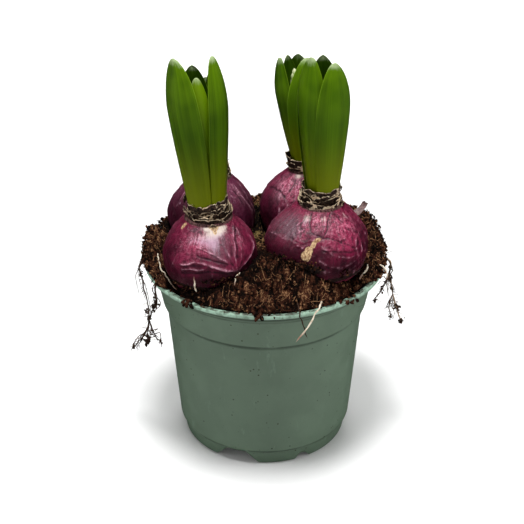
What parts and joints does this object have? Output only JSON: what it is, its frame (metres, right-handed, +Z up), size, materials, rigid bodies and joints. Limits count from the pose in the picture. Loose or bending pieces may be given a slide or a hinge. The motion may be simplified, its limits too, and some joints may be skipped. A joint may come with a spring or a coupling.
{
  "type": "hyacinth bulbs in a pot",
  "caption": "Sprouting hyacinth bulbs with purple tunics and blunt green shoots, standing in peat in a round plastic nursery pot, with loose roots over its lip.",
  "frame": {"origin": "on the ground under the pot's axis, at the centre of the feet", "axes": "+Z up along the pot's axis, -Y towards the front with the two larger shoots, +X to the right"},
  "size_m": [0.1611, 0.1418, 0.247],
  "materials": {
    "pot_plastic": "moulded grey-green plastic with a soft sheen",
    "soil": "crumbly dark brown peat with pale fibres",
    "bulb_skin": "papery purple tunic with a silky sheen",
    "dry_scales": "dry torn papery scales, tan with dark edges",
    "flower_bud": "pale green waxy buds",
    "leaf": "smooth waxy green leaf with fine parallel veins",
    "white_root": "pale fleshy root",
    "dark_root": "dark brown root with crumbs of peat",
    "dry_skin": "dry purple-brown skin"
  },
  "bodies": {
    "root": {"pot": "pot_plastic", "soil": "soil", "bulb_front_left": "bulb_skin", "bulb_front_right": "bulb_skin", "bulb_back_left": "bulb_skin", "bulb_back_right": "bulb_skin", "neck_scales_front_left": "dry_scales", "neck_scales_front_right": "dry_scales", "neck_scales_back_left": "dry_scales", "neck_scales_back_right": "dry_scales", "flower_bud_front_left": "flower_bud", "flower_bud_front_right": "flower_bud", "flower_bud_back_left": "flower_bud", "flower_bud_back_right": "flower_bud", "leaf_front_left_left": "leaf", "leaf_front_left_right": "leaf", "leaf_front_left_inner": "leaf", "leaf_front_left_back": "leaf", "leaf_front_left_back_right": "leaf", "leaf_front_left_back_left": "leaf", "leaf_front_right_right": "leaf", "leaf_front_right_left": "leaf", "leaf_front_right_back": "leaf", "leaf_front_right_back_left": "leaf", "leaf_back_left_left": "leaf", "leaf_back_left_right": "leaf", "leaf_back_left_back": "leaf", "leaf_back_left_inner": "leaf", "leaf_back_right_left": "leaf", "leaf_back_right_right": "leaf", "leaf_back_right_back": "leaf", "leaf_back_right_inner": "leaf", "root_lying_left": "white_root", "root_upright_front_left": "white_root", "root_lying_middle": "white_root", "root_lying_right": "white_root", "root_right_white": "white_root", "root_front_white": "white_root", "roots_left": "dark_root", "roots_right": "dark_root", "root_front_brown": "dark_root", "skin_flap": "dry_skin"}
  },
  "joints": []
}
